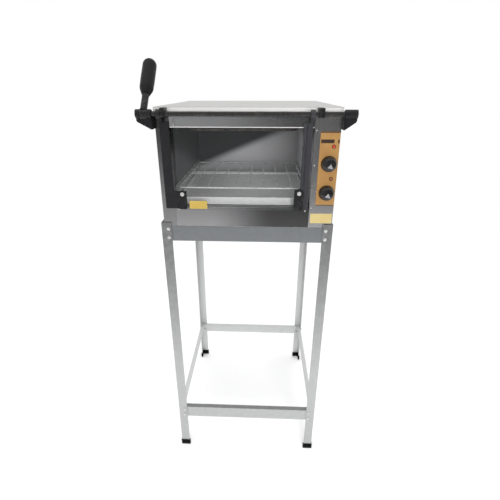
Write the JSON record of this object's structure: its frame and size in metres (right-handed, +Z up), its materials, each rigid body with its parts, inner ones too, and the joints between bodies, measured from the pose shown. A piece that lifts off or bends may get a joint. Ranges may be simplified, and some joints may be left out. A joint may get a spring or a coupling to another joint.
{
  "type": "rotisserie oven",
  "caption": "Countertop electric oven in polished steel with a lever-raised glass door, on an open four-legged steel stand.",
  "frame": {"origin": "middle of the bounding box's bottom face, on the floor", "axes": "+Z up, the oven's front with its door and controls faces -Y, +X to the right seen from the front"},
  "size_m": [0.604, 0.624, 1.4574],
  "materials": {
    "cabinet_steel": "polished stainless sheet, fine grain, soft reflections",
    "lid_steel": "bright stainless sheet, satin",
    "stand_finish": "silver-grey paint over zinc-coated steel, satin",
    "liner_steel": "stainless liner dulled by heat",
    "zinc_plate": "bright zinc plate",
    "black_enamel": "semi-gloss black paint",
    "arm_enamel": "dark grey paint, worn satin",
    "foot_rubber": "matt black rubber",
    "black_plastic": "glossy moulded phenolic",
    "door_pane": "clear tempered glass, slightly grey",
    "control_print": "amber printed plate with dark border bands",
    "caution_print": "golden yellow sticker, no words",
    "label_print": "pale yellow label, no words",
    "red_lens": "translucent red lens",
    "amber_lens": "translucent amber lens",
    "element_sheath": "heat-darkened metal sheath",
    "wool": "mineral wool blanket"
  },
  "bodies": {
    "frame": {"leg_front_left": "stand_finish", "leg_rear_left": "stand_finish", "leg_front_right": "stand_finish", "leg_rear_right": "stand_finish", "top_rail_front": "stand_finish", "top_rail_rear": "stand_finish", "top_rail_left": "stand_finish", "top_rail_right": "stand_finish", "shelf_rail_front": "stand_finish", "shelf_rail_rear": "stand_finish", "shelf_rail_left": "stand_finish", "shelf_rail_right": "stand_finish", "foot_front_left": "foot_rubber", "foot_rear_left": "foot_rubber", "foot_front_right": "foot_rubber", "foot_rear_right": "foot_rubber", "base_pan": "cabinet_steel", "side_panel_left": "cabinet_steel", "side_panel_right": "cabinet_steel", "back_panel": "cabinet_steel", "front_column_left": "cabinet_steel", "control_column": "cabinet_steel", "top_fascia": "cabinet_steel", "lower_front_panel": "cabinet_steel", "top_plate": "lid_steel", "data_label": "label_print", "chamber": "liner_steel", "insulation_top": "wool", "heating_element_upper": "element_sheath", "heating_element_lower": "element_sheath", "runner_left": "zinc_plate", "runner_right": "zinc_plate", "control_plate": "control_print", "heat_switch_body": "black_plastic", "thermostat_body": "black_plastic", "terminal_block": "black_plastic", "cable_gland": "black_plastic", "pilot_lamp_lower": "amber_lens", "pilot_lamp_upper": "red_lens", "end_bracket_left": "black_enamel", "end_bracket_right": "black_enamel", "rod_bearing_left": "black_enamel", "rod_bearing_right": "black_enamel"},
    "door": {"door_rod": "black_enamel", "lever_shaft": "black_enamel", "lever_grip": "black_plastic", "door_arm_left": "arm_enamel", "door_arm_right": "arm_enamel", "door_glass": "door_pane", "glass_clamp_left": "black_enamel", "glass_clamp_right": "black_enamel", "clamp_bolt_left": "zinc_plate", "clamp_bolt_right": "zinc_plate", "caution_label": "caution_print"},
    "knob_upper": {"knob_upper": "black_plastic"},
    "knob_lower": {"knob_lower": "black_plastic"},
    "rack": {"wire_rack": "zinc_plate"},
    "tray": {"drip_tray": "zinc_plate"}
  },
  "joints": [
    {"name": "door_swing", "type": "hinge", "parent": "frame", "child": "door", "pos_m": [0, -0.29997, 1.3133], "axis": [-1, 0, 0], "range_deg": [0, 70]},
    {"name": "knob_upper_turn", "type": "hinge", "parent": "frame", "child": "knob_upper", "pos_m": [0.2415, -0.27558, 1.1763], "axis": [0, 1, 0], "range_deg": [-125, 145]},
    {"name": "knob_lower_turn", "type": "hinge", "parent": "frame", "child": "knob_lower", "pos_m": [0.2415, -0.27558, 1.0903], "axis": [0, 1, 0], "range_deg": [-125, 145]},
    {"name": "rack_slide", "type": "slide", "parent": "frame", "child": "rack", "axis": [0, -1, 0], "range_m": [-0.03, 0.028]},
    {"name": "tray_slide", "type": "slide", "parent": "frame", "child": "tray", "axis": [0, -1, 0], "range_m": [-0.06, 0.018]}
  ]
}
